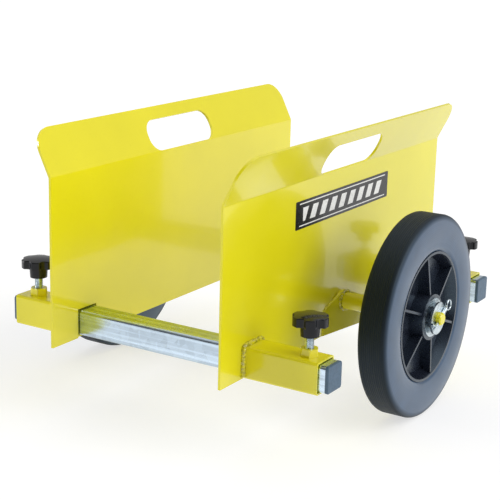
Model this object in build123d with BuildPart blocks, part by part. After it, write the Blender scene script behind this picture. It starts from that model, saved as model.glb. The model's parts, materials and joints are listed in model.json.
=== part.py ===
from build123d import *
import math
import os

# Two-wheeled, width-adjustable panel dolly.
# Millimetres, +Z up, floor at Z = 0.  X runs across the dolly, Y along the side plates.
# The origin is on the floor midway between the plates, straight below the wheel axis.

# ---- folded side plates ----
SHEET = 3.0
GAP = 236.0                   # clear distance between the two plates
PLATE_LENGTH = 550.0
PLATE_BOTTOM = 88.0           # height of the lower edge above the floor
BEND_HEIGHT = 296.0           # height of the fold line above the floor
FLANGE_WIDTH = 60.0           # measured up the slope of the flared edge
FLANGE_ANGLE = 26.5           # outward lean of the flared edge, degrees
FLANGE_CORNER_R = 28.0
FOLD_R = 3.0                  # inside radius of the fold
SLOT_LENGTH = 142.0
SLOT_WIDTH = 42.0
SLOT_CORNER_R = 18.5
SLOT_MID = 21.6               # slot centre up the slope from the fold
NOTCH_CLEAR = 1.7             # gap between a tube and its notch in the plate

# ---- square tubes ----
TUBE = 31.75
TUBE_WALL = 2.1
TUBE_R = 4.0
TUBE_LENGTH = 444.0
TUBE_OFFSET = 3.0             # the tubes sit this far off centre, towards the right-hand wheel
SLEEVE = 38.1
SLEEVE_WALL = 2.1
SLEEVE_R = 3.6
SLEEVE_LENGTH = 95.5
ROW_Y = 210.0                 # tube rows are this far in front of and behind the axle
WELD_LEG = 4.6
CAP_HEAD = 4.0
CAP_PLUG = 14.0
CAP_WALL = 2.0
CAP_GAP = 0.15

# ---- clamping screws ----
SCREW_REACH = 74.5            # screw centre from the plate's outer face
STUD_D = 10.0
STUD_TIP_GAP = 0.05           # screw tip to tube when tightened
STUD_SHOW = 22.9              # sleeve top to the underside of the knob hub
STUD_GRIP = 18.0              # length of screw moulded into the knob
THREAD_CLEAR = 0.05
NUT_FLATS = 19.0
NUT_HEIGHT = 9.0
KNOB_D = 42.0
KNOB_HEAD = 12.0              # depth of the lobed head at its middle
KNOB_CROWN = 2.2              # fall of the domed top from its middle to its rim
KNOB_LOBES = 6
SCALLOP_R = 6.5
SCALLOP_RING_R = 24.0
HUB_D = 23.0
HUB_TAPER = 0.8
HUB_HEIGHT = 13.2

# ---- axle ----
AXLE_Z = 126.0
AXLE_D = 22.0                 # stout inner part, from the plate to the shoulder
JOURNAL_D = 16.0              # turned-down part that carries the wheel
AXLE_END = 263.0              # distance of the axle's outer end from the middle
AXLE_CHAMFER = 1.5
BRACKET_SHEET = 4.0
BRACKET_TURN = 9.0            # turn of the bracket's face away from the plate, degrees
BRACKET_FRONT = 44.0          # reach of the bracket in front of the axle and behind it
BRACKET_REAR = 50.0
BRACKET_TOE = 0.8             # thickness left at the bracket's feathered front edge
BRACKET_SHOULDER = 31.5       # bracket heights above the plate's lower edge
BRACKET_PEAK = 52.0
AXLE_WELD = 4.0
INNER_WASHER_D = 37.0
INNER_WASHER_T = 3.0
COVER_D = 48.0                # pressed cover on the hub's outer face
COVER_T = 1.5
PIN_WASHER_D = 40.0
PIN_WASHER_T = 2.5
SIDE_PLAY = 0.3               # end play each side of the wheel
BORE_CLEAR = 0.3
PIN_D = 4.0
PIN_TILT = 28.0               # tilt of the split pin from level, degrees
PIN_EYE_R = 6.1               # mean radius of the split pin's eye
PIN_STAND = 11.7              # bare shank between the axle and the eye
PIN_LEG = 7.0                 # straight leg past the axle before the legs splay
PIN_BENT_TIP = (-21.6, 10.6)  # tip of the bent leg, along and across the shank
PIN_LONG_TIP = (-25.0, 1.5)   # tip of the leg left nearly straight
PIN_ARRIS = 0.5               # flattened corners of the doubled shank

# ---- wheels ----
TYRE_R = 126.0
TYRE_BORE_R = 81.0
TREAD_WIDTH = 35.0
SHOULDER_R = 2.5
SIDEWALL_BULGE = 2.2
WHEEL_X = 228.6               # distance of the wheel's middle plane from the dolly's middle
RIM_WIDTH = 35.0
RIM_LIP = 3.0
RIM_DRAFT = 6.0
WEB_T = 6.0
HUB_LENGTH = 40.0
HUB_R = 28.5
HUB_ROOT_R = 31.5
RIBS = 6
RIB_T = 3.0
RIB_START = 40.0              # angle of the first rib, degrees
RIB_TUCK = 1.0
BUSH_R = 13.0
BUSH_STAND = 5.5              # the bush stands this far proud of the hub's outer face
BUSH_CLEAR = 0.05

# ---- plain label panel ----
LABEL_LENGTH = 240.0
LABEL_HEIGHT = 34.0
LABEL_T = 0.4
LABEL_Z = 255.5
LABEL_CORNER_R = 1.5

TUBE_Z = PLATE_BOTTOM + SLEEVE / 2
PLATE_IN = GAP / 2
PLATE_OUT = PLATE_IN + SHEET
SLEEVE_TOP = PLATE_BOTTOM + SLEEVE
SCREW_X = PLATE_OUT + SCREW_REACH
HUB_BASE_Z = SLEEVE_TOP + STUD_SHOW
HUB_OUT = WHEEL_X + HUB_LENGTH / 2
HUB_IN = WHEEL_X - HUB_LENGTH / 2
LEAN = math.radians(FLANGE_ANGLE)

SIDES = {"left": -1, "right": 1}
ENDS = {"front": -1, "rear": 1}

os.makedirs("parts", exist_ok=True)


def save(builder, label):
    """Name one finished piece and write it out."""
    builder.part.label = label
    export_step(builder.part, f"parts/{label}.step")


def across(side, x, y=0.0, z=0.0):
    """Plane whose normal points out of the dolly on the given side."""
    return Plane(origin=(side * x, y, z), x_dir=(0, 1, 0), z_dir=(side, 0, 0))


def disc_on_axle(side, x_from, thick, outer_r, inner_r):
    """Flat ring round the wheel axis."""
    with BuildPart() as ring:
        with BuildSketch(across(side, x_from, 0, AXLE_Z)):
            Circle(outer_r)
            Circle(inner_r, mode=Mode.SUBTRACT)
        extrude(amount=thick)
    return ring


def square_tube(plane, width, wall, corner_r, length):
    """Square tube with rounded corners, drawn from the plane along its normal."""
    with BuildPart() as tube:
        with BuildSketch(plane):
            RectangleRounded(width, width, corner_r)
            RectangleRounded(width - 2 * wall, width - 2 * wall, corner_r - wall * 0.9,
                             mode=Mode.SUBTRACT)
        extrude(amount=length)
    return tube


def make_side_plate(side):
    """Folded sheet: upright panel, flared top edge with a hand slot, notches for the tubes."""
    up = (math.sin(LEAN), math.cos(LEAN))
    out = (math.cos(LEAN), -math.sin(LEAN))
    top_in = (PLATE_IN + FLANGE_WIDTH * up[0], BEND_HEIGHT + FLANGE_WIDTH * up[1])
    top_out = (top_in[0] + SHEET * out[0], top_in[1] + SHEET * out[1])
    fold_out = (PLATE_OUT, BEND_HEIGHT - SHEET * math.tan(LEAN / 2))
    outline = [(PLATE_IN, PLATE_BOTTOM), (PLATE_IN, BEND_HEIGHT), top_in, top_out, fold_out,
               (PLATE_OUT, PLATE_BOTTOM)]
    with BuildPart() as plate:
        with BuildSketch(Plane.XZ):
            with BuildLine():
                Polyline([(side * x, z) for x, z in outline], close=True)
            make_face()
        extrude(amount=PLATE_LENGTH / 2, both=True)
        long_edges = plate.edges().filter_by(Axis.Y)
        inner_fold = long_edges.sort_by_distance((side * PLATE_IN, 0, BEND_HEIGHT))[0]
        fillet(inner_fold, FOLD_R + SHEET)
        long_edges = plate.edges().filter_by(Axis.Y)
        outer_fold = long_edges.sort_by_distance((side * fold_out[0], 0, fold_out[1]))[0]
        fillet(outer_fold, FOLD_R)
        # rounded top corners of the flared edge
        tip = (side * (top_in[0] + top_out[0]) / 2, (top_in[1] + top_out[1]) / 2)
        for end in ENDS.values():
            corner = (tip[0], end * PLATE_LENGTH / 2, tip[1])
            fillet(plate.edges().sort_by_distance(corner)[0], FLANGE_CORNER_R)
        # hand slot
        slope = Plane(origin=(side * PLATE_IN, 0, BEND_HEIGHT), x_dir=(0, 1, 0),
                      z_dir=(side * out[0], 0, out[1]))
        with BuildSketch(slope):
            with Locations((0, SLOT_MID if side > 0 else -SLOT_MID)):
                RectangleRounded(SLOT_LENGTH, SLOT_WIDTH, SLOT_CORNER_R)
        extrude(amount=2 * SHEET, both=True, mode=Mode.SUBTRACT)
        # notches, open at the lower edge, where the cross tubes pass through
        half = TUBE / 2 + NOTCH_CLEAR
        for end in ENDS.values():
            with BuildSketch(across(side, PLATE_IN - 1, end * ROW_Y, TUBE_Z)):
                Rectangle(2 * half, 2 * half)
                with Locations((0, -side * half)):
                    Rectangle(2 * half, 2 * half)
            extrude(amount=SHEET + 2, mode=Mode.SUBTRACT)
    return plate


def make_sleeve_weld(side, end):
    """Fillet weld round the foot of a sleeve, on its top and both flanks."""
    with BuildPart() as bead:
        with BuildSketch(across(side, PLATE_OUT, end * ROW_Y, TUBE_Z)):
            RectangleRounded(SLEEVE + 2 * WELD_LEG, SLEEVE + 2 * WELD_LEG, SLEEVE_R + WELD_LEG)
        extrude(amount=WELD_LEG)
        rim = bead.faces().sort_by(Axis.X)[-1 if side > 0 else 0]
        chamfer(rim.edges(), WELD_LEG - 0.2)
        with BuildSketch(across(side, PLATE_OUT, end * ROW_Y, TUBE_Z)):
            RectangleRounded(SLEEVE, SLEEVE, SLEEVE_R)
        extrude(amount=WELD_LEG, mode=Mode.SUBTRACT)
        under = PLATE_BOTTOM - 2 * WELD_LEG
        with BuildSketch(across(side, PLATE_OUT - 1, end * ROW_Y, under)):
            Rectangle(2 * SLEEVE, 4 * WELD_LEG)
        extrude(amount=2 * WELD_LEG, mode=Mode.SUBTRACT)
    return bead


def make_tube_cap(side, end):
    """Push-in plastic cap: flat head on a hollow plug."""
    inside = TUBE - 2 * TUBE_WALL - 2 * CAP_GAP
    mouth = across(side, TUBE_LENGTH / 2 + side * TUBE_OFFSET, end * ROW_Y, TUBE_Z)
    with BuildPart() as cap:
        with BuildSketch(mouth):
            RectangleRounded(TUBE, TUBE, TUBE_R - 0.5)
        extrude(amount=CAP_HEAD)
        face = cap.faces().sort_by(Axis.X)[-1 if side > 0 else 0]
        chamfer(face.edges(), 0.8)
        with BuildSketch(mouth):
            RectangleRounded(inside, inside, 1.8)
            RectangleRounded(inside - 2 * CAP_WALL, inside - 2 * CAP_WALL, 1.0,
                             mode=Mode.SUBTRACT)
        extrude(amount=-CAP_PLUG)
    return cap


def make_weld_nut(side, end):
    """Hexagon nut welded over the hole in the sleeve's top wall."""
    seat = Plane(origin=(side * SCREW_X, end * ROW_Y, SLEEVE_TOP))
    with BuildPart() as nut:
        with BuildSketch(seat):
            RegularPolygon(NUT_FLATS / 2, 6, major_radius=False)
        extrude(amount=NUT_HEIGHT)
        # chamfered crown: the hexagon is trimmed by a cone
        with BuildSketch(seat):
            Circle(NUT_FLATS * 0.577 + 0.1)
        extrude(amount=NUT_HEIGHT, taper=6, mode=Mode.INTERSECT)
        with BuildSketch(seat):
            Circle(STUD_D / 2 + THREAD_CLEAR)
        extrude(amount=NUT_HEIGHT, mode=Mode.SUBTRACT)
        mouth = nut.edges().filter_by(GeomType.CIRCLE).sort_by_distance(
            (side * SCREW_X, end * ROW_Y, SLEEVE_TOP + NUT_HEIGHT))[0]
        chamfer(mouth, 0.6)
    return nut


def make_sleeve(side, end):
    """Square sleeve with a screw hole through its top wall."""
    foot = across(side, PLATE_OUT, end * ROW_Y, TUBE_Z)
    sleeve = square_tube(foot, SLEEVE, SLEEVE_WALL, SLEEVE_R, SLEEVE_LENGTH)
    with BuildPart() as drilled:
        add(sleeve.part)
        with BuildSketch(Plane(origin=(side * SCREW_X, end * ROW_Y, TUBE_Z))):
            Circle(STUD_D / 2 + BORE_CLEAR)
        extrude(amount=SLEEVE, mode=Mode.SUBTRACT)
    return drilled


def make_stud(side, end):
    """Clamping screw, from its tip on the tube to its head inside the knob."""
    tip_z = TUBE_Z + TUBE / 2 + STUD_TIP_GAP
    head_z = HUB_BASE_Z + STUD_GRIP
    with BuildPart() as stud:
        with BuildSketch(Plane(origin=(side * SCREW_X, end * ROW_Y, tip_z))):
            Circle(STUD_D / 2)
        extrude(amount=head_z - tip_z)
        rims = stud.edges().filter_by(GeomType.CIRCLE)
        chamfer(rims, 1.0)
    return stud


def make_knob(side, end):
    """Six-lobed knob with a tapering hub, bored blind for the screw's plain head."""
    x = side * SCREW_X
    y = end * ROW_Y
    with BuildPart() as knob:
        with BuildSketch(Plane(origin=(x, y, HUB_BASE_Z + HUB_HEIGHT))):
            Circle(KNOB_D / 2)
            with PolarLocations(SCALLOP_RING_R, KNOB_LOBES, start_angle=30):
                Circle(SCALLOP_R, mode=Mode.SUBTRACT)
        extrude(amount=KNOB_HEAD)
        arrises = knob.edges().filter_by(Axis.Z)
        fillet(arrises, 1.6)
        # domed top: the head is trimmed by a turned dome
        with BuildSketch(Plane(origin=(x, y, HUB_BASE_Z + HUB_HEIGHT), x_dir=(1, 0, 0),
                               z_dir=(0, -1, 0))):
            with BuildLine():
                reach = KNOB_D / 2 + 1
                ThreePointArc((reach, KNOB_HEAD - KNOB_CROWN),
                              (reach / 2, KNOB_HEAD - KNOB_CROWN / 4), (0, KNOB_HEAD))
                Polyline((0, KNOB_HEAD), (0, 0), (reach, 0), (reach, KNOB_HEAD - KNOB_CROWN))
            make_face()
        revolve(axis=Axis((x, y, 0), (0, 0, 1)), mode=Mode.INTERSECT)
        crown = knob.faces().sort_by(Axis.Z)[-1]
        fillet(crown.edges(), 1.2)
        with BuildSketch(Plane(origin=(x, y, HUB_BASE_Z))):
            Circle(HUB_D / 2 - HUB_TAPER)
        with BuildSketch(Plane(origin=(x, y, HUB_BASE_Z + HUB_HEIGHT))):
            Circle(HUB_D / 2)
        loft()
        with BuildSketch(Plane(origin=(x, y, HUB_BASE_Z))):
            Circle(STUD_D / 2 + THREAD_CLEAR)
        extrude(amount=STUD_GRIP + THREAD_CLEAR, mode=Mode.SUBTRACT)
    return knob


def stand_off(y):
    """Distance of the bracket's outer face from the plate, y behind the axle."""
    return BRACKET_TOE + (y + BRACKET_FRONT) * math.tan(math.radians(BRACKET_TURN))


def make_bracket(side):
    """Folded bracket with a gabled top: a face turned off the plate and a return behind."""
    slope = math.tan(math.radians(BRACKET_TURN))
    heel = BRACKET_REAR - BRACKET_SHEET
    root = (BRACKET_SHEET - BRACKET_TOE) / slope - BRACKET_FRONT
    strip = [(0, -BRACKET_FRONT), (BRACKET_TOE, -BRACKET_FRONT),
             (stand_off(BRACKET_REAR), BRACKET_REAR), (0, BRACKET_REAR), (0, heel),
             (stand_off(heel) - BRACKET_SHEET, heel), (0, root)]
    base = PLATE_BOTTOM - AXLE_Z
    gable = [(-BRACKET_FRONT, base), (BRACKET_REAR, base),
             (BRACKET_REAR, base + BRACKET_SHOULDER), (0, base + BRACKET_PEAK),
             (-BRACKET_FRONT, base + BRACKET_SHOULDER)]
    with BuildPart() as bracket:
        with BuildSketch(Plane(origin=(0, 0, PLATE_BOTTOM))):
            with BuildLine():
                Polyline([(side * (PLATE_OUT + x), y) for x, y in strip], close=True)
            make_face()
        extrude(amount=BRACKET_PEAK)
        with BuildSketch(across(side, PLATE_OUT, 0, AXLE_Z)):
            with BuildLine():
                Polyline([(y, side * z) for y, z in gable], close=True)
            make_face()
            Circle(AXLE_D / 2, mode=Mode.SUBTRACT)
        extrude(amount=2 * BRACKET_FRONT, mode=Mode.INTERSECT)
    return bracket


def make_axle(side):
    """Shouldered stub axle from the plate out through the wheel, cross-drilled for its pin."""
    with BuildPart() as axle:
        with BuildSketch(across(side, PLATE_OUT, 0, AXLE_Z)):
            Circle(AXLE_D / 2)
        extrude(amount=INNER_WASHER_X - PLATE_OUT)
        with BuildSketch(across(side, INNER_WASHER_X, 0, AXLE_Z)):
            Circle(JOURNAL_D / 2)
        extrude(amount=AXLE_END - INNER_WASHER_X)
        tip = axle.edges().filter_by(GeomType.CIRCLE).sort_by(Axis.X)[-1 if side > 0 else 0]
        chamfer(tip, AXLE_CHAMFER)
        tilt = math.radians(PIN_TILT)
        drill = Plane(origin=(side * PIN_X, 0, AXLE_Z), x_dir=(1, 0, 0),
                      z_dir=(0, math.cos(tilt), math.sin(tilt)))
        with BuildSketch(drill):
            Circle(PIN_D / 2 + 0.2)
        extrude(amount=JOURNAL_D, both=True, mode=Mode.SUBTRACT)
    return axle


def make_axle_weld(side):
    """Fillet weld round the axle's root, lying on the bracket's turned face."""
    turn = math.radians(BRACKET_TURN)
    normal = Vector(side * math.cos(turn), -math.sin(turn), 0)
    foot = Vector(side * (PLATE_OUT + stand_off(0)), 0, AXLE_Z)
    ring = AXLE_D / 2
    section = Plane(origin=foot, x_dir=(0, 0, 1), z_dir=normal.cross(Vector(0, 0, 1)))
    with BuildPart() as bead:
        with BuildSketch(section):
            with BuildLine():
                rise = 1 if section.y_dir.dot(normal) > 0 else -1
                Polyline([(ring / 2, 0), (ring + AXLE_WELD, 0), (ring, rise * AXLE_WELD),
                          (ring / 2, rise * AXLE_WELD)], close=True)
            make_face()
        revolve(axis=Axis(foot, normal))
        with BuildSketch(across(side, PLATE_OUT, 0, AXLE_Z)):
            Circle(ring)
        extrude(amount=3 * BRACKET_FRONT, mode=Mode.SUBTRACT)
    return bead


def make_split_pin(side):
    """Split pin: round eye, doubled shank through the axle and two splayed legs."""
    tilt = math.radians(PIN_TILT)
    shank = (0, math.cos(tilt), math.sin(tilt))
    flat = Plane(origin=(side * PIN_X, 0, AXLE_Z), x_dir=shank, z_dir=(side, 0, 0))
    r = JOURNAL_D / 2
    wire = PIN_D / 4
    eye_mid = r + PIN_STAND + PIN_EYE_R
    eye = Plane(origin=flat.from_local_coords(Vector(eye_mid, 0, 0)), x_dir=shank,
                z_dir=(side, 0, 0))
    with BuildPart() as pin:
        shank_from = -r - PIN_LEG
        shank_to = r + PIN_STAND + wire / 2
        with BuildSketch(flat.offset(-PIN_D / 2 + 0.2)):
            with Locations(((shank_from + shank_to) / 2, 0)):
                Rectangle(shank_to - shank_from, PIN_D - 0.8)
        extrude(amount=PIN_D - 0.4)
        arrises = pin.edges().filter_by(lambda edge: edge.length > 2 * r)
        chamfer(arrises, PIN_ARRIS)
        with BuildSketch(eye.offset(-wire)):
            Circle(PIN_EYE_R + wire)
            Circle(PIN_EYE_R - wire, mode=Mode.SUBTRACT)
        extrude(amount=2 * wire)
        with BuildSketch(flat.offset(-wire)):
            for tip, root in ((PIN_BENT_TIP, wire / 2), (PIN_LONG_TIP, -wire / 2)):
                start = Vector(shank_from + wire, side * root)
                end = Vector(tip[0], side * tip[1])
                run = end - start
                with Locations((start + end) * 0.5):
                    Rectangle(run.length, 2 * wire,
                              rotation=math.degrees(math.atan2(run.Y, run.X)))
        extrude(amount=2 * wire)
    return pin


def wheel_profile(side, points):
    """Mirror-image points about the wheel's middle plane into a closed half section."""
    return [(side * (WHEEL_X + x), AXLE_Z + r) for x, r in points]


def make_tyre(side):
    """Solid rubber tyre with a flat tread and gently bulging side walls."""
    half = TREAD_WIDTH / 2
    seat = RIM_WIDTH / 2
    bulge = half + SIDEWALL_BULGE
    mid_r = (TYRE_R + TYRE_BORE_R) / 2
    with BuildPart() as tyre:
        with BuildSketch(Plane.XZ):
            with BuildLine():
                for way in (-1, 1):
                    wall = wheel_profile(side, [(way * half, TYRE_R), (way * bulge, mid_r),
                                                (way * seat, TYRE_BORE_R)])
                    ThreePointArc(*wall)
                Line(*wheel_profile(side, [(-half, TYRE_R), (half, TYRE_R)]))
                Line(*wheel_profile(side, [(-seat, TYRE_BORE_R), (seat, TYRE_BORE_R)]))
            make_face()
        revolve(axis=Axis((0, 0, AXLE_Z), (1, 0, 0)))
        shoulders = tyre.edges().filter_by(GeomType.CIRCLE).filter_by(
            lambda e: e.radius > TYRE_R - 0.5)
        fillet(shoulders, SHOULDER_R)
    return tyre


def make_rim(side):
    """Moulded wheel centre: seat ring, thin web, long hub and six ribs on each face."""
    seat = RIM_WIDTH / 2
    web = WEB_T / 2
    hub = HUB_LENGTH / 2
    ring_r = TYRE_BORE_R - RIM_LIP
    root_r = ring_r - RIM_DRAFT
    section = [(0, BUSH_R), (hub, BUSH_R), (hub, HUB_R), (web, HUB_ROOT_R), (web, root_r),
               (seat, ring_r), (seat, TYRE_BORE_R), (-seat, TYRE_BORE_R), (-seat, ring_r),
               (-web, root_r), (-web, HUB_ROOT_R), (-hub, HUB_R), (-hub, BUSH_R)]
    with BuildPart() as rim:
        with BuildSketch(Plane.XZ):
            with BuildLine():
                Polyline(wheel_profile(side, section), close=True)
            make_face()
        revolve(axis=Axis((0, 0, AXLE_Z), (1, 0, 0)))
        # ribs: a sloping front edge falls from the hub out to the seat ring
        for count in range(RIBS):
            angle = math.radians(RIB_START + count * 360 / RIBS)
            radial = (0, math.cos(angle), math.sin(angle))
            stand = Plane(origin=(side * WHEEL_X, 0, AXLE_Z), x_dir=radial,
                          z_dir=Vector(side, 0, 0).cross(Vector(*radial)))
            reach = seat - RIB_TUCK
            with BuildSketch(stand):
                with BuildLine():
                    Polyline([(HUB_R - 1, reach + 2), (HUB_R - 1, -reach - 2),
                              (ring_r + 1, -reach), (ring_r + 1, reach)], close=True)
                make_face()
            extrude(amount=RIB_T / 2, both=True)
    return rim


def make_label():
    """Thin plain panel stuck to the outer face of the right-hand plate."""
    with BuildPart() as label:
        with BuildSketch(across(1, PLATE_OUT, 0, LABEL_Z)):
            RectangleRounded(LABEL_LENGTH, LABEL_HEIGHT, LABEL_CORNER_R)
        extrude(amount=LABEL_T)
    return label


INNER_WASHER_X = HUB_IN - SIDE_PLAY - INNER_WASHER_T
PIN_WASHER_X = HUB_OUT + BUSH_STAND + SIDE_PLAY
PIN_X = PIN_WASHER_X + PIN_WASHER_T + PIN_D / 2 + 0.2

for side_name, side in SIDES.items():
    save(make_side_plate(side), f"side_plate_{side_name}")
    save(make_bracket(side), f"axle_bracket_{side_name}")
    save(make_axle(side), f"axle_{side_name}")
    save(make_axle_weld(side), f"axle_weld_{side_name}")
    save(make_split_pin(side), f"split_pin_{side_name}")
    save(make_tyre(side), f"tyre_{side_name}")
    save(make_rim(side), f"rim_{side_name}")
    ring_r = JOURNAL_D / 2
    save(disc_on_axle(side, HUB_IN, HUB_LENGTH + BUSH_STAND, BUSH_R, ring_r + BUSH_CLEAR),
         f"wheel_bush_{side_name}")
    save(disc_on_axle(side, INNER_WASHER_X, INNER_WASHER_T, INNER_WASHER_D / 2,
                      ring_r + BORE_CLEAR), f"inner_washer_{side_name}")
    save(disc_on_axle(side, HUB_OUT, COVER_T, COVER_D / 2, BUSH_R + BORE_CLEAR),
         f"hub_cover_{side_name}")
    save(disc_on_axle(side, PIN_WASHER_X, PIN_WASHER_T, PIN_WASHER_D / 2, ring_r + BORE_CLEAR),
         f"pin_washer_{side_name}")
    for end_name, end in ENDS.items():
        spot = f"{end_name}_{side_name}"
        save(make_sleeve(side, end), f"sleeve_{spot}")
        save(make_sleeve_weld(side, end), f"sleeve_weld_{spot}")
        save(make_tube_cap(side, end), f"tube_cap_{spot}")
        save(make_weld_nut(side, end), f"weld_nut_{spot}")
        save(make_stud(side, end), f"clamp_stud_{spot}")
        save(make_knob(side, end), f"star_knob_{spot}")

for end_name, end in ENDS.items():
    start = Plane(origin=(TUBE_OFFSET - TUBE_LENGTH / 2, end * ROW_Y, TUBE_Z), x_dir=(0, 1, 0),
                  z_dir=(1, 0, 0))
    save(square_tube(start, TUBE, TUBE_WALL, TUBE_R, TUBE_LENGTH), f"cross_tube_{end_name}")

save(make_label(), "side_label_right")
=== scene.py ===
import json
import math

import bpy
from bpy.props import FloatProperty, FloatVectorProperty, PointerProperty
from mathutils import Matrix, Vector

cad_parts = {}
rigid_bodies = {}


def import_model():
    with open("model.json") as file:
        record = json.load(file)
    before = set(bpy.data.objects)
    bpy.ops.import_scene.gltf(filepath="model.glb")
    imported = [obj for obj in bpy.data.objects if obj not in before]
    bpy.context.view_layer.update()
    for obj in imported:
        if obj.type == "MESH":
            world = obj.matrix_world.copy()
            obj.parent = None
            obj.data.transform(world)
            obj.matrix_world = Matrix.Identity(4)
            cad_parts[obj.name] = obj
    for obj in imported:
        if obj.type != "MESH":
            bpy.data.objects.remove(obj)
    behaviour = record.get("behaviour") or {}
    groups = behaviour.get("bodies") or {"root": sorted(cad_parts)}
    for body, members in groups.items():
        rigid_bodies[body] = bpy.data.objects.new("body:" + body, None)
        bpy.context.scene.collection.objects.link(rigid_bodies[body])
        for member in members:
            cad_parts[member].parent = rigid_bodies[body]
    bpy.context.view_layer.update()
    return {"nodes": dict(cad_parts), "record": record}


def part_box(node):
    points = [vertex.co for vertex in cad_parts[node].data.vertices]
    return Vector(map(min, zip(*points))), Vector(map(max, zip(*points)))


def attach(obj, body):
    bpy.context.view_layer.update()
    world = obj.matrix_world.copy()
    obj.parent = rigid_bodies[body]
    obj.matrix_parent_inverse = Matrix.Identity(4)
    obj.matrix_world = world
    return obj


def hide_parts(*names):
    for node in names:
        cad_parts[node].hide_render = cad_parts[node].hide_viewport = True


bl_info = {
    "name": "Panel Dolly Finisher",
    "version": (1, 0, 0),
    "blender": (4, 5, 0),
    "location": "View3D > Sidebar > Dolly",
    "description": "Tyres, rims, screws, pins, weld beads, finishes and studio for a panel dolly",
    "category": "Object",
}

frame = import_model()

MM = 0.001
SIDES = {"left": -1, "right": 1}
ENDS = {"front": -1, "rear": 1}
RIGHT_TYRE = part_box("tyre_right")
WHEEL_X = (RIGHT_TYRE[0][0] + RIGHT_TYRE[1][0]) / 2
AXLE_Z = (RIGHT_TYRE[0][2] + RIGHT_TYRE[1][2]) / 2
TYRE_R = (RIGHT_TYRE[1][2] - RIGHT_TYRE[0][2]) / 2
HALF_TYRE = (RIGHT_TYRE[1][0] - RIGHT_TYRE[0][0]) / 2

TYRE_BORE = 81.0 * MM         # radius of the tyre's seat on the rim
HALF_TREAD = 17.5 * MM
GROOVE_PITCH = 2.6 * MM       # spacing of the fine lines round the tread
GROOVE_HALF = 0.40 * MM
GROOVE_DEPTH = 0.28 * MM
PIN_WIRE = 1.0 * MM           # radius of the split pin's wire
PIN_EYE_MID = 25.8 * MM       # eye's centre from the axle's axis
PIN_EYE_R = 6.1 * MM
PIN_TILT = math.radians(28.0)
THREAD_END = 1.2 * MM         # plain end below the thread
THREAD_DEPTH = 0.61           # of the pitch
AXLE_BEAD_R = 11.6 * MM
BRACKET_TURN = math.radians(9.0)


# ---------------------------------------------------------------- modelling helpers

def let_go():
    """Leave edit mode and deselect everything."""
    if bpy.context.object and bpy.context.object.mode != "OBJECT":
        bpy.ops.object.mode_set(mode="OBJECT")
    bpy.ops.object.select_all(action="DESELECT")


def pick(obj):
    """Make one object the only selected and active one."""
    let_go()
    obj.select_set(True)
    bpy.context.view_layer.objects.active = obj


def started(name):
    """Name the primitive just added and go into edit mode with all of it selected."""
    obj = bpy.context.object
    obj.name = name
    obj.data.name = name
    bpy.ops.object.mode_set(mode="EDIT")
    bpy.ops.mesh.select_all(action="SELECT")
    return obj


def finished(obj, smooth=35.0):
    """Outward normals, origin at the frame's origin, smooth shading up to an angle."""
    pick(obj)
    bpy.ops.object.mode_set(mode="EDIT")
    bpy.ops.mesh.select_all(action="SELECT")
    bpy.ops.mesh.remove_doubles(threshold=1e-6)
    bpy.ops.mesh.normals_make_consistent(inside=False)
    bpy.ops.object.mode_set(mode="OBJECT")
    bpy.ops.object.transform_apply(location=True, rotation=True, scale=True)
    bpy.ops.object.shade_smooth_by_angle(angle=math.radians(smooth))
    let_go()
    return obj


def joined(objs, name):
    """Join several objects into the first."""
    let_go()
    for obj in objs:
        obj.select_set(True)
    bpy.context.view_layer.objects.active = objs[0]
    bpy.ops.object.join()
    objs[0].name = name
    objs[0].data.name = name
    return objs[0]


def mirrored(obj, name, flip_x=False, flip_y=False):
    """A copy with its own mesh, mirrored across the dolly's middle planes."""
    twin = obj.copy()
    twin.data = obj.data.copy()
    twin.name = name
    twin.data.name = name
    bpy.context.collection.objects.link(twin)
    twin.scale = (-1 if flip_x else 1, -1 if flip_y else 1, 1)
    return finished(twin)


def moved(obj, name, offset):
    """A copy with its own mesh, set off by a distance."""
    twin = obj.copy()
    twin.data = obj.data.copy()
    twin.name = name
    twin.data.name = name
    bpy.context.collection.objects.link(twin)
    twin.location = offset
    return finished(twin, 50.0)


def turned_ring(name, profile, centre, steps=160):
    """Closed ring turned about an X axis: profile holds (x, radius) pairs from the centre."""
    let_go()
    x, r = profile[0]
    bpy.ops.mesh.primitive_circle_add(vertices=steps, radius=r, fill_type="NOTHING",
                                      location=(centre[0] + x, centre[1], centre[2]),
                                      rotation=(0, math.pi / 2, 0))
    ring = started(name)
    for next_x, next_r in profile[1:]:
        bpy.ops.mesh.extrude_region_move(TRANSFORM_OT_translate={"value": (next_x - x, 0, 0)})
        grow = next_r / r
        if abs(grow - 1) > 1e-7:
            bpy.ops.transform.resize(value=(1, grow, grow), center_override=centre)
        x, r = next_x, next_r
    bpy.ops.mesh.select_all(action="DESELECT")
    bpy.ops.mesh.select_mode(type="EDGE")
    bpy.ops.mesh.select_non_manifold()
    bpy.ops.mesh.bridge_edge_loops()
    bpy.ops.mesh.select_mode(type="VERT")
    bpy.ops.object.mode_set(mode="OBJECT")
    return ring


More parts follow.
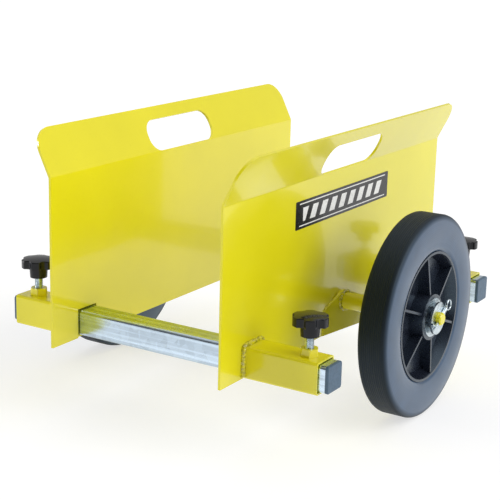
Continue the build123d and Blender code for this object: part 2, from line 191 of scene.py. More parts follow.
def swept_bar(name, x, path, radii, sides=12, across=1.0, closed=False):
    """Bar swept along a path of (y, z) points in the plane at x, one radius for each point."""
    let_go()
    count = len(path)
    points = [Vector((x, y, z)) for y, z in path]

    def heading(i):
        ahead = points[(i + 1) % count] if closed or i < count - 1 else points[i]
        behind = points[i - 1] if closed or i > 0 else points[i]
        way = ahead - behind
        return math.atan2(way.z, way.y)

    turn = heading(0)
    bpy.ops.mesh.primitive_circle_add(vertices=sides, radius=radii[0], fill_type="NOTHING",
                                      location=points[0], rotation=(turn - math.pi / 2, 0, 0))
    bar = started(name)
    if across != 1.0:
        bpy.ops.transform.resize(value=(across, 1, 1), center_override=points[0])
    for i in range(1, count):
        bpy.ops.mesh.extrude_region_move(
            TRANSFORM_OT_translate={"value": points[i] - points[i - 1]})
        bend = (heading(i) - turn + math.pi) % (2 * math.pi) - math.pi
        if abs(bend) > 1e-6:
            # turns the other way when there is no window
            bpy.ops.transform.rotate(value=-bend, orient_axis="X", center_override=points[i])
            turn += bend
        grow = radii[i] / radii[i - 1]
        if abs(grow - 1) > 1e-6:
            bpy.ops.transform.resize(value=(grow, grow, grow), center_override=points[i])
    bpy.ops.mesh.select_all(action="DESELECT")
    bpy.ops.mesh.select_mode(type="EDGE")
    bpy.ops.mesh.select_non_manifold()
    if closed:
        bpy.ops.mesh.bridge_edge_loops()
    else:
        bpy.ops.mesh.edge_face_add()
    bpy.ops.mesh.select_mode(type="VERT")
    bpy.ops.object.mode_set(mode="OBJECT")
    return bar


def arc(centre, radius, start, end, steps):
    """Points (y, z) round an arc, angles in degrees."""
    angles = [math.radians(start + (end - start) * i / steps) for i in range(steps + 1)]
    return [(centre[0] + radius * math.cos(a), centre[1] + radius * math.sin(a)) for a in angles]


def place(obj, node, body):
    """Let a modelled piece stand for its CAD node."""
    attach(obj, body)
    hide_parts(node)


# ---------------------------------------------------------------- finish helpers

class Finish:
    """A node material built up from a few named steps."""

    def __init__(self, name, metallic=0.0, ior=1.5, specular=0.5, tint=(1.0, 1.0, 1.0)):
        self.material = bpy.data.materials.new(name)
        self.material.use_nodes = True
        self.tree = self.material.node_tree
        self.tree.nodes.clear()
        self.out = self.tree.nodes.new("ShaderNodeOutputMaterial")
        self.shader = self.tree.nodes.new("ShaderNodeBsdfPrincipled")
        self.tree.links.new(self.shader.outputs[0], self.out.inputs["Surface"])
        self.shader.inputs["Metallic"].default_value = metallic
        self.shader.inputs["IOR"].default_value = ior
        self.shader.inputs["Specular IOR Level"].default_value = specular
        self.shader.inputs["Specular Tint"].default_value = (*tint, 1.0)
        self.coords = self.tree.nodes.new("ShaderNodeTexCoord").outputs["Object"]
        self.last_bump = None

    def link(self, source, target):
        self.tree.links.new(source, target)

    def stretched(self, scale):
        """Object coordinates scaled by a different amount along each axis."""
        mapping = self.tree.nodes.new("ShaderNodeMapping")
        mapping.inputs["Scale"].default_value = scale
        self.link(self.coords, mapping.inputs["Vector"])
        return mapping.outputs[0]

    def noise(self, scale, detail=3.0, roughness=0.5, vector=None, distortion=0.0):
        node = self.tree.nodes.new("ShaderNodeTexNoise")
        node.inputs["Scale"].default_value = scale
        node.inputs["Detail"].default_value = detail
        node.inputs["Roughness"].default_value = roughness
        node.inputs["Distortion"].default_value = distortion
        self.link(vector or self.coords, node.inputs["Vector"])
        return node.outputs["Fac"]

    def cells(self, scale, feature="F1", vector=None):
        node = self.tree.nodes.new("ShaderNodeTexVoronoi")
        node.feature = feature
        node.inputs["Scale"].default_value = scale
        self.link(vector or self.coords, node.inputs["Vector"])
        return node

    def spread(self, value, low, high, to_low, to_high):
        """Remap a value from one range to another."""
        node = self.tree.nodes.new("ShaderNodeMapRange")
        self.link(value, node.inputs["Value"])
        for socket, number in zip(("From Min", "From Max", "To Min", "To Max"),
                                  (low, high, to_low, to_high)):
            node.inputs[socket].default_value = number
        return node.outputs[0]

    def maths(self, operation, first, second=None):
        node = self.tree.nodes.new("ShaderNodeMath")
        node.operation = operation
        for socket, value in zip(node.inputs, (first, second)):
            if value is None:
                continue
            if isinstance(value, (int, float)):
                socket.default_value = value
            else:
                self.link(value, socket)
        return node.outputs[0]

    def blend(self, factor, first, second):
        """Mix two colours; each is a tuple or another colour output."""
        node = self.tree.nodes.new("ShaderNodeMix")
        node.data_type = "RGBA"
        self.link(factor, node.inputs[0])
        for socket, value in ((node.inputs[6], first), (node.inputs[7], second)):
            if isinstance(value, (tuple, list)):
                socket.default_value = (*value[:3], 1.0)
            else:
                self.link(value, socket)
        return node.outputs[2]

    def axis(self, name):
        """One object coordinate."""
        node = self.tree.nodes.new("ShaderNodeSeparateXYZ")
        self.link(self.coords, node.inputs[0])
        return node.outputs[name]

    def bump(self, height, strength, depth):
        """Relief in metres; each call adds to the one before."""
        node = self.tree.nodes.new("ShaderNodeBump")
        node.inputs["Strength"].default_value = strength
        node.inputs["Distance"].default_value = depth
        self.link(height, node.inputs["Height"])
        if self.last_bump:
            self.link(self.last_bump, node.inputs["Normal"])
        self.last_bump = node.outputs[0]
        self.link(self.last_bump, self.shader.inputs["Normal"])

    def colour(self, source):
        self.link(source, self.shader.inputs["Base Color"])

    def roughness(self, source):
        self.link(source, self.shader.inputs["Roughness"])

    def coat(self, weight, roughness):
        self.shader.inputs["Coat Weight"].default_value = weight
        self.shader.inputs["Coat Roughness"].default_value = roughness

    def on(self, *nodes):
        """Put the finish on CAD nodes or modelled pieces."""
        for item in nodes:
            obj = frame["nodes"][item] if isinstance(item, str) else item
            obj.data.materials.clear()
            obj.data.materials.append(self.material)


def shade(rgb, factor):
    """A colour made lighter or darker."""
    return tuple(min(1.0, channel * factor) for channel in rgb[:3])


def powder_coat(name, rgb):
    """Gloss powder coat: slight mottling, fine orange peel and faint ripples in the sheet."""
    paint = Finish(name)
    cloud = paint.noise(9.0, detail=4.0)
    fleck = paint.noise(420.0, detail=2.0)
    tone = paint.blend(paint.spread(cloud, 0.3, 0.7, 0.0, 1.0), shade(rgb, 0.96), shade(rgb, 1.03))
    dust = paint.spread(fleck, 0.62, 0.75, 0.0, 0.35)
    paint.colour(paint.blend(dust, tone, shade(rgb, 0.88)))
    paint.roughness(paint.spread(paint.noise(35.0, detail=5.0), 0.25, 0.75, 0.16, 0.26))
    paint.bump(paint.noise(5.0, detail=1.0), 0.5, 0.0012)
    paint.bump(paint.noise(650.0, detail=1.5), 0.25, 0.00012)
    paint.coat(0.5, 0.06)
    return paint


# ---------------------------------------------------------------- settings

class DollyFinishSettings(bpy.types.PropertyGroup):
    """Colours and fine sizes of the dolly's surfaces."""
    paint: FloatVectorProperty(name="Paint", description="Powder coat colour", subtype="COLOR",
                               size=3, min=0.0, max=1.0, default=(0.78, 0.702, 0.008))
    # the tube colour is bluer than bare zinc: part of its blue is painted reflection of the
    # surroundings
    zinc: FloatVectorProperty(name="Galvanised tube", description="Colour of the cross tubes",
                              subtype="COLOR", size=3, min=0.0, max=1.0,
                              default=(0.50, 0.60, 0.70))
    plating: FloatVectorProperty(name="Zinc plating", description="Colour of screws and washers",
                                 subtype="COLOR", size=3, min=0.0, max=1.0,
                                 default=(0.55, 0.62, 0.66))
    # tyre colours: the near-black tread is partly painted shade, and the lighter blue-grey side wall
    # is partly painted light falling from the right, partly rubber bloom
    rubber: FloatVectorProperty(name="Rubber", description="Colour of the tyres",
                                subtype="COLOR", size=3, min=0.0, max=1.0,
                                default=(0.004, 0.006, 0.009))
    bloom_and_sheen: FloatVectorProperty(name="Side wall bloom", description="Dull film on the side walls",
                               subtype="COLOR", size=3, min=0.0, max=1.0,
                               default=(0.034, 0.075, 0.145))
    moulding: FloatVectorProperty(name="Black moulding", description="Colour of black plastic",
                                  subtype="COLOR", size=3, min=0.0, max=1.0,
                                  default=(0.009, 0.011, 0.018))
    # the tube caps are black plastic; this blue-grey colour is painted reflection of the bright
    # surroundings on their gloss
    cap: FloatVectorProperty(name="Tube caps", description="Colour of the tube caps",
                             subtype="COLOR", size=3, min=0.0, max=1.0,
                             default=(0.055, 0.105, 0.165))
    thread_pitch: FloatProperty(name="Thread pitch", description="Pitch of the clamping screws",
                                default=1.5 * MM, unit="LENGTH", min=0.5 * MM, max=4 * MM)
    bead_radius: FloatProperty(name="Weld bead", description="Half width of the weld beads",
                               default=3.6 * MM, unit="LENGTH", min=1 * MM, max=6 * MM)


class DollyStudioSettings(bpy.types.PropertyGroup):
    """Camera and light."""
    distance: FloatProperty(name="Distance", description="Camera to aim point", unit="LENGTH",
                            default=1.741, min=0.5, max=10.0)
    lens: FloatProperty(name="Lens", description="Focal length in millimetres", default=93.87,
                        min=20.0, max=200.0)
    key_light: FloatProperty(name="Right light", description="Soft light high on the right",
                             default=0.50, min=0.0, max=10.0)
    left_light: FloatProperty(name="Left light", description="Low light on the left",
                              default=0.80, min=0.0, max=10.0)
    top_light: FloatProperty(name="Top light", description="Soft light overhead",
                             default=0.20, min=0.0, max=10.0)
    room_light: FloatProperty(name="Room light", description="Brightness of the surroundings",
                              default=0.53, min=0.0, max=10.0)
    floor_glow: FloatProperty(name="Floor glow", description="Light let through the pale floor",
                              default=0.62, min=0.0, max=10.0)


# ---------------------------------------------------------------- pieces

class DOLLY_OT_tyres(bpy.types.Operator):
    """Turn the solid rubber tyres with their shoulders, side walls and rim seats"""
    bl_idname = "dolly.tyres"
    bl_label = "Tyres"

    def execute(self, context):
        outer = TYRE_R
        bore = TYRE_BORE
        half = HALF_TREAD
        bulge = HALF_TYRE - half
        waist = (outer + bore) / 2
        reach = (outer - bore) / 2

        def wall(r):
            return half + bulge * (1 - ((r - waist) / reach) ** 2)

        side = [(half - 4.2 * MM, outer), (half - 2.6 * MM, outer - 0.35 * MM),
                (half - 1.3 * MM, outer - 1.05 * MM), (half - 0.35 * MM, outer - 2.1 * MM),
                (wall(outer - 3.6 * MM), outer - 3.6 * MM)]
        for step in range(1, 15):
            r = outer - 3.6 * MM - step * (outer - bore - 6.6 * MM) / 15
            side.append((wall(r), r))
        side += [(wall(bore + 3.2 * MM), bore + 3.2 * MM), (wall(bore + 2.6 * MM) - 0.5 * MM,
                 bore + 2.4 * MM), (half - 0.9 * MM, bore + 1.0 * MM), (half - 1.6 * MM, bore)]
        tread = []
        for groove in range(-5, 6):
            middle = groove * GROOVE_PITCH
            tread += [(middle - GROOVE_HALF, outer), (middle, outer - GROOVE_DEPTH),
                      (middle + GROOVE_HALF, outer)]
        back = [(-x, r) for x, r in reversed(side)]
        profile = back + tread + side
        tyre = turned_ring("tyre_ring_right", profile, Vector((WHEEL_X, 0, AXLE_Z)), 192)
        finished(tyre, 40.0)
        place(tyre, "tyre_right", "wheel_right")
        twin = mirrored(tyre, "tyre_ring_left", flip_x=True)
        place(twin, "tyre_left", "wheel_left")
        return {"FINISHED"}


class DOLLY_OT_split_pins(bpy.types.Operator):
    """Bend the split pins: round eye, doubled shank and two splayed legs"""
    bl_idname = "dolly.split_pins"
    bl_label = "Split pins"

    def execute(self, context):
        low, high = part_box("split_pin_right")
        x = (low[0] + high[0]) / 2
        half = PIN_WIRE
        neck = math.degrees(math.asin(half / PIN_EYE_R))
        leg = [(-24.8 * MM, 1.5 * MM), (-21.5 * MM, 0.6 * MM), (-18.0 * MM, -0.5 * MM),
               (-15.5 * MM, -half), (0, -half), (18.6 * MM, -half)]
        eye = arc((PIN_EYE_MID, 0), PIN_EYE_R, 180 + neck + 5, 540 - neck - 5, 30)
        other = [(18.6 * MM, half), (0, half), (-13.0 * MM, half), (-14.6 * MM, 1.7 * MM),
                 (-16.4 * MM, 3.6 * MM), (-18.4 * MM, 6.2 * MM), (-21.2 * MM, 10.2 * MM)]
        path = []
        for u, v in leg + eye + other:
            path.append((u * math.cos(PIN_TILT) - v * math.sin(PIN_TILT),
                         AXLE_Z + u * math.sin(PIN_TILT) + v * math.cos(PIN_TILT)))
        pin = swept_bar("split_pin_wire_right", x, path, [PIN_WIRE] * len(path),
                        sides=12, across=1.7)
        finished(pin, 60.0)
        place(pin, "split_pin_right", "side_right")
        twin = mirrored(pin, "split_pin_wire_left", flip_x=True)
        place(twin, "split_pin_left", "side_left")
        return {"FINISHED"}


class DOLLY_OT_screws(bpy.types.Operator):
    """Cut the threads of the four clamping screws"""
    bl_idname = "dolly.screws"
    bl_label = "Clamping screws"

    def execute(self, context):
        pitch = context.scene.dolly_finish.thread_pitch
        low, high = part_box("clamp_stud_front_right")
        x = (low[0] + high[0]) / 2
        y = (low[1] + high[1]) / 2
        crest = (high[0] - low[0]) / 2
        root = crest - THREAD_DEPTH * pitch
        turns = int((high[2] - low[2] - 2 * MM) / pitch) - 1
        let_go()
        bpy.ops.mesh.primitive_plane_add(size=1.0, location=(0, 0, 0))
        thread = started("screw_thread_front_right")
        bpy.ops.mesh.delete(type="ONLY_FACE")
        bpy.ops.object.mode_set(mode="OBJECT")
        # the thread is cut downwards from its upper end, right-handed
        start_z = low[2] + THREAD_END + turns * pitch
        ladder = [(root, 0.0), (crest, 0.42), (crest, 0.58), (root, 1.0)]
        # the plane's corners run 0-1-3-2 round its edge; the side from 2 to 0 is opened
        for index, (r, share) in zip((0, 1, 3, 2), ladder):
            thread.data.vertices[index].co = (x + r, y, start_z + share * pitch)
        for edge in thread.data.edges:
            edge.select = set(edge.vertices) == {0, 2}
        for vertex in thread.data.vertices:
            vertex.select = vertex.index in (0, 2)
        bpy.ops.object.mode_set(mode="EDIT")
        bpy.ops.mesh.select_mode(type="EDGE")
        bpy.ops.mesh.delete(type="EDGE")
        bpy.ops.mesh.select_all(action="SELECT")
        bpy.ops.mesh.screw(steps=28, turns=turns, center=(x, y, 0), axis=(0, 0, -1))
        bpy.ops.mesh.select_mode(type="VERT")
        bpy.ops.object.mode_set(mode="OBJECT")
        let_go()
        bpy.ops.mesh.primitive_cylinder_add(vertices=28, radius=root + 0.02 * MM,
                                            depth=high[2] - low[2],
                                            location=(x, y, (low[2] + high[2]) / 2))
        core = started("screw_core")
        bpy.ops.mesh.bevel(offset=0.6 * MM, segments=2)
        bpy.ops.object.mode_set(mode="OBJECT")
        screw = finished(joined([thread, core], "screw_front_right"), 50.0)
        place(screw, "clamp_stud_front_right", "clamp_stud_front_right")
        for end, way_y in ENDS.items():
            for side, way_x in SIDES.items():
                if (end, side) == ("front", "right"):
                    continue
                # moved, not mirrored, so that every thread stays right-handed
                offset = ((way_x - 1) * x, -(way_y + 1) * y, 0)
                twin = moved(screw, f"screw_{end}_{side}", offset)
                node = f"clamp_stud_{end}_{side}"
                place(twin, node, node)
        return {"FINISHED"}


class DOLLY_OT_weld_beads(bpy.types.Operator):
    """Lay rippled weld beads round the feet of the sleeves and the roots of the axles"""
    bl_idname = "dolly.weld_beads"
    bl_label = "Weld beads"

    def execute(self, context):
        radius = context.scene.dolly_finish.bead_radius
        low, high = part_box("sleeve_front_right")
        face = low[0] + 1.2 * MM
        y_mid = (low[1] + high[1]) / 2
        half = (high[1] - low[1]) / 2 + 0.8 * MM
        top = high[2] + 0.8 * MM
        bend = 4.6 * MM
        run = []
        steps = 24
        for i in range(steps):
            run.append((y_mid - half, low[2] + 2.2 * MM + i * (top - bend - low[2]) / steps))
        run += arc((y_mid - half + bend, top - bend), bend, 180, 90, 5)
        for i in range(1, steps):
            run.append((y_mid - half + bend + i * (2 * half - 2 * bend) / steps, top))
        run += arc((y_mid + half - bend, top - bend), bend, 90, 0, 5)
        for i in range(1, steps):
            run.append((y_mid + half, top - bend - i * (top - bend - low[2] - 2.2 * MM) / steps))
        radii = []
        for i in range(len(run)):
            ripple = 0.5 + 0.5 * math.sin(i * 2.1) * math.cos(i * 0.37)
            radii.append(radius * (0.78 + 0.26 * ripple))
        radii[0] = radii[-1] = radius * 0.5
        bead = swept_bar("weld_bead_front_right", face, run, radii, sides=12)
        finished(bead, 80.0)
        place(bead, "sleeve_weld_front_right", "side_right")
        for end, way_y in ENDS.items():
            for side, way_x in SIDES.items():
                if (end, side) == ("front", "right"):
                    continue
                twin = mirrored(bead, f"weld_bead_{end}_{side}", way_x < 0, way_y > 0)
                place(twin, f"sleeve_weld_{end}_{side}", f"side_{side}")
        low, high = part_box("axle_weld_right")
        foot = low[0] + 2.9 * MM
        steps = 48
        ring = arc((0, AXLE_Z), AXLE_BEAD_R, 0, 360 - 360 / steps, steps - 1)
        swell = []
        for i in range(steps):
            swell.append(0.66 * radius * (0.95 + 0.25 * math.sin(i * 2 * math.pi * 12 / steps)))
        bead = swept_bar("axle_bead_right", foot, ring, swell, sides=12, closed=True)
        # the bead lies on the turned face of the bracket
        pick(bead)
        bpy.ops.object.mode_set(mode="EDIT")
        bpy.ops.mesh.select_all(action="SELECT")
        bpy.ops.transform.rotate(value=BRACKET_TURN, orient_axis="Z",
                                 center_override=(foot, 0, AXLE_Z))
        bpy.ops.object.mode_set(mode="OBJECT")
        finished(bead, 80.0)
        place(bead, "axle_weld_right", "side_right")
        twin = mirrored(bead, "axle_bead_left", flip_x=True)
        place(twin, "axle_weld_left", "side_left")
        return {"FINISHED"}


# ---------------------------------------------------------------- finishes

class DOLLY_OT_paint_steelwork(bpy.types.Operator):
    """Powder coat the plates, sleeves, brackets, axles, nuts and weld beads"""
    bl_idname = "dolly.paint_steelwork"
    bl_label = "Paint steelwork"

    def execute(self, context):
        coat = powder_coat("yellow_powder_coat", context.scene.dolly_finish.paint)
        painted = [sub["node"] for sub in frame["record"]["subparts"]
                   if sub["material_slot"] == "yellow_paint"]
        coat.on(*painted)
        rgb = context.scene.dolly_finish.paint
        weld = Finish("painted_weld")
        # pale specks on the beads are painted glints of light, set in cells within patches of noise
        glint_cells = weld.cells(520.0)
        glint_specks = weld.spread(glint_cells.outputs["Distance"], 0.20, 0.34, 1.0, 0.0)
        glint_patches = weld.spread(weld.noise(110.0, detail=3.0), 0.46, 0.60, 0.0, 1.0)
        burnt = weld.blend(weld.spread(weld.noise(240.0, detail=2.0), 0.40, 0.62, 0.0, 1.0),
                           shade(rgb, 0.50), tuple(rgb))
        weld.colour(weld.blend(weld.maths("MULTIPLY", glint_specks, glint_patches), burnt, (0.95, 0.93, 0.72)))
        weld.roughness(weld.spread(weld.noise(300.0), 0.3, 0.7, 0.14, 0.30))
        weld.bump(weld.noise(420.0, detail=3.0), 0.7, 0.0009)
        weld.coat(0.5, 0.08)
        beads = [obj for obj in bpy.data.objects if obj.name.startswith(("weld_bead", "axle_bead"))]
        weld.on(*beads)
        return {"FINISHED"}


class DOLLY_OT_galvanise_tubes(bpy.types.Operator):
    """Give the cross tubes a bright galvanised skin with spangle and draw lines"""
    bl_idname = "dolly.galvanise_tubes"
    bl_label = "Galvanise tubes"

    def execute(self, context):
        rgb = context.scene.dolly_finish.zinc
        skin = Finish("galvanised_tube", metallic=1.0)
        crystals = skin.cells(120.0)
        grain = skin.tree.nodes.new("ShaderNodeSeparateColor")
        skin.link(crystals.outputs["Color"], grain.inputs[0])
        streaks = skin.noise(1.0, detail=4.0, vector=skin.stretched((5.0, 170.0, 170.0)))
        # the zinc colour's blue is partly painted reflection of the surroundings; lighter streaks run
        # along the tube
        tone = skin.blend(grain.outputs[0], shade(rgb, 0.86), shade(rgb, 1.04))
        clouds = skin.spread(streaks, 0.42, 0.66, 0.0, 1.0)
        skin.colour(skin.blend(clouds, tone, shade(rgb, 1.40)))
        lustre = skin.spread(grain.outputs[1], 0.0, 1.0, 0.17, 0.25)
        skin.roughness(skin.maths("ADD", lustre, skin.spread(streaks, 0.3, 0.7, -0.04, 0.08)))
        skin.bump(grain.outputs[0], 0.10, 0.00006)
        skin.bump(streaks, 0.25, 0.00010)
        skin.bump(skin.noise(28.0, detail=2.0), 0.25, 0.0004)
        skin.on("cross_tube_front", "cross_tube_rear")
        return {"FINISHED"}


class DOLLY_OT_plate_hardware(bpy.types.Operator):
    """Zinc plate the screws, washers and split pins"""
    bl_idname = "dolly.plate_hardware"
    bl_label = "Plate hardware"

    def execute(self, context):
        rgb = context.scene.dolly_finish.plating
        zinc = Finish("zinc_plating", metallic=1.0)
        cloud = zinc.noise(130.0, detail=5.0)
        zinc.colour(zinc.blend(zinc.spread(cloud, 0.35, 0.65, 0.0, 1.0), shade(rgb, 0.85),
                               shade(rgb, 1.25)))
        zinc.roughness(zinc.spread(zinc.noise(500.0, detail=3.0), 0.3, 0.7, 0.18, 0.36))
        zinc.bump(zinc.noise(900.0, detail=2.0), 0.2, 0.00008)
        plated = [sub["node"] for sub in frame["record"]["subparts"]
                  if sub["material_slot"] == "zinc_hardware"]
        zinc.on(*plated)
        made = [obj for obj in bpy.data.objects if obj.name.startswith(("screw_", "split_pin_wire"))]
        zinc.on(*made)
        return {"FINISHED"}


class DOLLY_OT_finish_wheels(bpy.types.Operator):
    """Rubber for the tyres and black moulding for rims and bushes"""
    bl_idname = "dolly.finish_wheels"
    bl_label = "Finish wheels"

    def execute(self, context):
        settings = context.scene.dolly_finish
        rubber = Finish("solid_rubber", specular=0.42, tint=(0.62, 0.82, 1.0))
        # distance from the wheel axis decides tread or side wall; the side wall's lighter blue-grey
        # is part rubber bloom and part painted light from the right, and the near-black tread is part
        # painted shade
        y = rubber.axis("Y")
        z = rubber.maths("SUBTRACT", rubber.axis("Z"), AXLE_Z)
        squares = rubber.maths("ADD", rubber.maths("MULTIPLY", y, y), rubber.maths("MULTIPLY", z, z))
        radius = rubber.maths("SQRT", squares)
        wall = rubber.spread(radius, TYRE_R - 0.8 * MM, TYRE_R - 8.0 * MM, 0.0, 1.0)
        film = rubber.spread(rubber.noise(45.0, detail=6.0), 0.25, 0.75, 0.72, 1.0)
        mask = rubber.maths("MULTIPLY", wall, film)
        rubber.colour(rubber.blend(mask, tuple(settings.rubber), tuple(settings.bloom_and_sheen)))
        scuff = rubber.noise(1.0, detail=4.0, vector=rubber.stretched((900.0, 12.0, 12.0)))
        matt = rubber.spread(scuff, 0.3, 0.7, 0.50, 0.64)
        rubber.roughness(rubber.maths("SUBTRACT", matt, rubber.maths("MULTIPLY", wall, 0.22)))
        rubber.bump(rubber.noise(700.0, detail=3.0), 0.25, 0.00015)
        rubber.bump(scuff, 0.35, 0.00025)
        ridges = rubber.maths("SINE", rubber.maths("MULTIPLY", radius, 2400.0))
        rubber.bump(rubber.maths("MULTIPLY", ridges, wall), 0.12, 0.0002)
        rubber.coat(0.0, 0.30)
        rubber.link(rubber.maths("MULTIPLY", wall, 0.55), rubber.shader.inputs["Coat Weight"])
        rubber.on("tyre_left", "tyre_right")
        rubber.on(*[obj for obj in bpy.data.objects if obj.name.startswith("tyre_ring")])
        black = Finish("black_moulding", specular=0.8, tint=(0.55, 0.78, 1.0))
        tint = black.noise(60.0, detail=4.0)
        black.colour(black.blend(tint, shade(settings.moulding, 0.8), shade(settings.moulding, 1.8)))
        black.roughness(black.spread(black.noise(240.0, detail=3.0), 0.3, 0.7, 0.22, 0.34))
        black.coat(0.12, 0.14)
        black.bump(black.noise(1100.0, detail=2.0), 0.3, 0.00010)
        black.on("rim_left", "rim_right", "wheel_bush_left", "wheel_bush_right")
        return {"FINISHED"}


class DOLLY_OT_finish_plastics(bpy.types.Operator):
    """Gloss knobs, satin tube caps and the plain label panel"""
    bl_idname = "dolly.finish_plastics"
    bl_label = "Finish plastics"

    def execute(self, context):
        settings = context.scene.dolly_finish
        gloss = Finish("knob_moulding", specular=0.32)
        tint = gloss.noise(90.0, detail=3.0)
        gloss.colour(gloss.blend(tint, shade(settings.moulding, 0.25), shade(settings.moulding, 0.6)))
        gloss.roughness(gloss.spread(gloss.noise(300.0, detail=3.0), 0.3, 0.7, 0.10, 0.20))
        gloss.bump(gloss.noise(260.0, detail=2.0), 0.2, 0.00015)
        # the caps' blue-grey colour is painted reflection on black plastic
        cap = Finish("cap_moulding")
        tint = cap.noise(180.0, detail=4.0)
        cap.colour(cap.blend(tint, shade(settings.cap, 0.75), shade(settings.cap, 1.3)))
        cap.roughness(cap.spread(cap.noise(420.0, detail=3.0), 0.3, 0.7, 0.34, 0.52))
        cap.bump(cap.noise(1300.0, detail=2.0), 0.3, 0.00012)
        for end in ENDS:
            for side in SIDES:
                gloss.on(f"star_knob_{end}_{side}")
                cap.on(f"tube_cap_{end}_{side}")
        low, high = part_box("side_label_right")
        vinyl = Finish("label_vinyl")
        y = vinyl.maths("ABSOLUTE", vinyl.axis("Y"))
        mid_z = (low[2] + high[2]) / 2
        z = vinyl.maths("ABSOLUTE", vinyl.maths("SUBTRACT", vinyl.axis("Z"), mid_z))
        half_y = (high[1] - low[1]) / 2
        half_z = (high[2] - low[2]) / 2
        # a row of slanted white bars between two fine white lines
        lean = vinyl.maths("ADD", vinyl.axis("Y"), vinyl.maths("MULTIPLY", vinyl.axis("Z"), -0.5))
        wave = vinyl.maths("PINGPONG", lean, 12.0 * MM)
        bars = vinyl.maths("GREATER_THAN", wave, 5.4 * MM)
        bars = vinyl.maths("MULTIPLY", bars, vinyl.maths("LESS_THAN", z, half_z * 0.48))
        bars = vinyl.maths("MULTIPLY", bars, vinyl.maths("LESS_THAN", y, half_y * 0.86))
        line = vinyl.maths("MULTIPLY", vinyl.maths("GREATER_THAN", z, half_z * 0.74),
                           vinyl.maths("LESS_THAN", z, half_z * 0.82))
        line = vinyl.maths("MULTIPLY", line, vinyl.maths("LESS_THAN", y, half_y * 0.93))
        print_mask = vinyl.maths("MAXIMUM", bars, line)
        worn = vinyl.maths("MULTIPLY", print_mask,
                           vinyl.spread(vinyl.noise(300.0, detail=4.0), 0.2, 0.5, 0.8, 1.0))
        vinyl.colour(vinyl.blend(worn, (0.006, 0.006, 0.007), (0.86, 0.86, 0.84)))
        vinyl.roughness(vinyl.spread(vinyl.noise(200.0, detail=3.0), 0.3, 0.7, 0.16, 0.30))
        vinyl.bump(vinyl.noise(120.0, detail=2.0), 0.15, 0.0002)
        vinyl.on("side_label_right")
        return {"FINISHED"}


# ---------------------------------------------------------------- studio

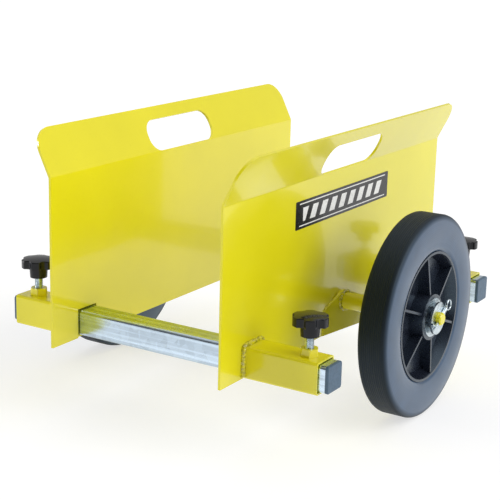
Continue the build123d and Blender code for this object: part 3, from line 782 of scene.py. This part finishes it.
class DOLLY_OT_studio(bpy.types.Operator):
    """Pale floor, soft lights, surroundings and camera"""
    bl_idname = "dolly.studio"
    bl_label = "Studio"

    def execute(self, context):
        settings = context.scene.dolly_studio
        let_go()
        bpy.ops.mesh.primitive_plane_add(size=400.0, location=(0, 0, 0))
        floor = bpy.context.object
        floor.name = "studio_floor"
        pale = Finish("pale_floor", specular=0.1)
        pale.colour(pale.blend(pale.noise(2.0), (0.42, 0.42, 0.42), (0.44, 0.44, 0.44)))
        pale.shader.inputs["Roughness"].default_value = 0.9
        pale.shader.inputs["Emission Color"].default_value = (1.0, 1.0, 1.0, 1.0)
        pale.shader.inputs["Emission Strength"].default_value = settings.floor_glow
        pale.on(floor)
        lights = (
            ("key_right", (2.6, 0.4, 2.0), 50.0, settings.key_light),
            ("low_left", (-2.6, -1.0, 0.5), 24.0, settings.left_light),
            ("top_soft", (0.1, 0.6, 3.0), 70.0, settings.top_light),
        )
        for name, spot, width, strength in lights:
            bpy.ops.object.light_add(type="SUN", location=spot)
            lamp = bpy.context.object
            lamp.name = name
            lamp.data.angle = math.radians(width)
            lamp.data.energy = strength * math.pi
            aim = Vector((0, 0, 0.15)) - Vector(spot)
            lamp.rotation_euler = aim.to_track_quat("-Z", "Y").to_euler()
        world = bpy.data.worlds.new("studio_surroundings")
        world.use_nodes = True
        tree = world.node_tree
        coords = tree.nodes.new("ShaderNodeTexCoord")
        split = tree.nodes.new("ShaderNodeSeparateXYZ")
        tree.links.new(coords.outputs["Generated"], split.inputs[0])
        ramp = tree.nodes.new("ShaderNodeMapRange")
        ramp.interpolation_type = "SMOOTHSTEP"
        tree.links.new(split.outputs["Y"], ramp.inputs["Value"])
        # the room is dim behind the camera and bright at the sides and beyond the dolly
        for socket, number in zip(("From Min", "From Max", "To Min", "To Max"),
                                  (-0.95, 0.05, 0.12, 1.0)):
            ramp.inputs[socket].default_value = number
        level = tree.nodes.new("ShaderNodeMath")
        level.operation = "MULTIPLY"
        tree.links.new(ramp.outputs[0], level.inputs[0])
        level.inputs[1].default_value = settings.room_light
        tree.links.new(level.outputs[0], tree.nodes["Background"].inputs["Strength"])
        tree.nodes["Background"].inputs["Color"].default_value = (1.0, 1.0, 1.0, 1.0)
        context.scene.world = world
        context.scene.view_settings.view_transform = "Standard"
        right = Vector((0.84703384, 0.53098596, 0.02424026))
        up = Vector((-0.15567117, 0.20420736, 0.96647082))
        back = Vector((0.5082324, -0.82240699, 0.25562975))
        aim_point = Vector((-0.02971482, 0.02422135, 0.16260222))
        bpy.ops.object.camera_add(location=aim_point + back * settings.distance)
        camera = bpy.context.object
        camera.name = "studio_camera"
        turn = Matrix((right, up, back)).transposed()
        camera.rotation_euler = turn.to_euler()
        camera.data.lens = settings.lens
        camera.data.sensor_width = 36.0
        camera.data.shift_y = -0.0029
        context.scene.camera = camera
        return {"FINISHED"}


class DOLLY_PT_panel(bpy.types.Panel):
    """Lists the steps that finish the dolly"""
    bl_idname = "DOLLY_PT_panel"
    bl_label = "Panel Dolly"
    bl_space_type = "VIEW_3D"
    bl_region_type = "UI"
    bl_category = "Dolly"

    def draw(self, context):
        column = self.layout.column(align=True)
        for step in STEPS:
            column.operator(step.bl_idname)
        for settings in (context.scene.dolly_finish, context.scene.dolly_studio):
            box = self.layout.box()
            for name in settings.__annotations__:
                box.prop(settings, name)


STEPS = (DOLLY_OT_tyres, DOLLY_OT_split_pins, DOLLY_OT_screws, DOLLY_OT_weld_beads,
         DOLLY_OT_paint_steelwork, DOLLY_OT_galvanise_tubes, DOLLY_OT_plate_hardware,
         DOLLY_OT_finish_wheels, DOLLY_OT_finish_plastics, DOLLY_OT_studio)
CLASSES = (DollyFinishSettings, DollyStudioSettings, *STEPS, DOLLY_PT_panel)


def register():
    for cls in CLASSES:
        bpy.utils.register_class(cls)
    bpy.types.Scene.dolly_finish = PointerProperty(type=DollyFinishSettings)
    bpy.types.Scene.dolly_studio = PointerProperty(type=DollyStudioSettings)


def unregister():
    del bpy.types.Scene.dolly_studio
    del bpy.types.Scene.dolly_finish
    for cls in reversed(CLASSES):
        bpy.utils.unregister_class(cls)


def main():
    register()
    for step in STEPS:
        family, action = step.bl_idname.split(".")
        getattr(getattr(bpy.ops, family), action)()


if __name__ == "__main__":
    main()
